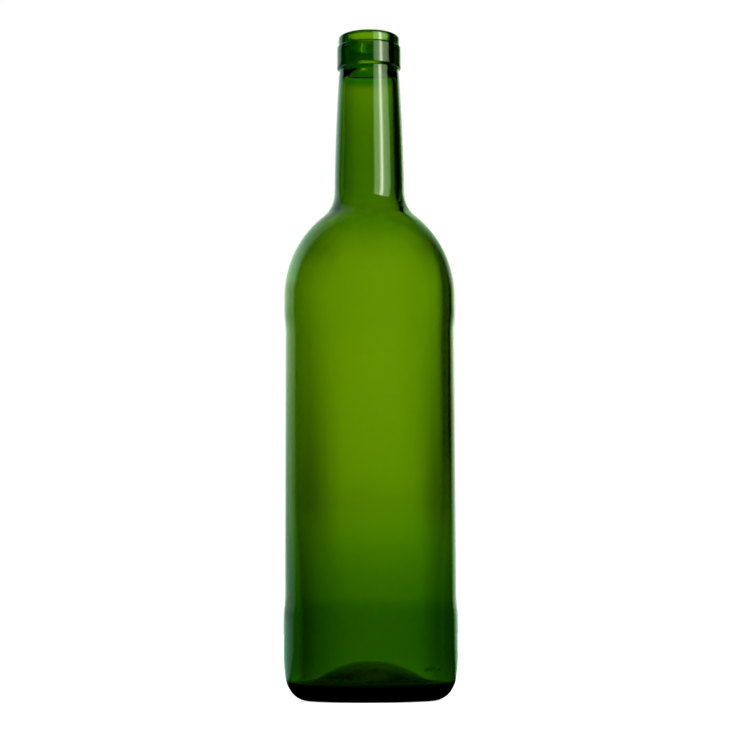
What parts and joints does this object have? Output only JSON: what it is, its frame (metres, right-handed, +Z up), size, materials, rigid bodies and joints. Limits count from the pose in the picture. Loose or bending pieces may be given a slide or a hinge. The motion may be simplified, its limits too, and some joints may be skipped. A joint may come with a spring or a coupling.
{
  "type": "bordeaux wine bottle",
  "caption": "Empty high-shouldered green glass wine bottle with a banded cork finish, a recessed label panel and a punted base with a knurled resting ring.",
  "frame": {"origin": "middle of the resting ring, on the surface that the bottle stands on", "axes": "+Z up along the bottle's axis towards the mouth, +X and -X towards the mould seams, -Y the front"},
  "size_m": [0.077, 0.0768, 0.3],
  "materials": {
    "glass": "clear yellow-green glass, fire-polished"
  },
  "bodies": {
    "root": {"bottle": "glass"}
  },
  "joints": []
}
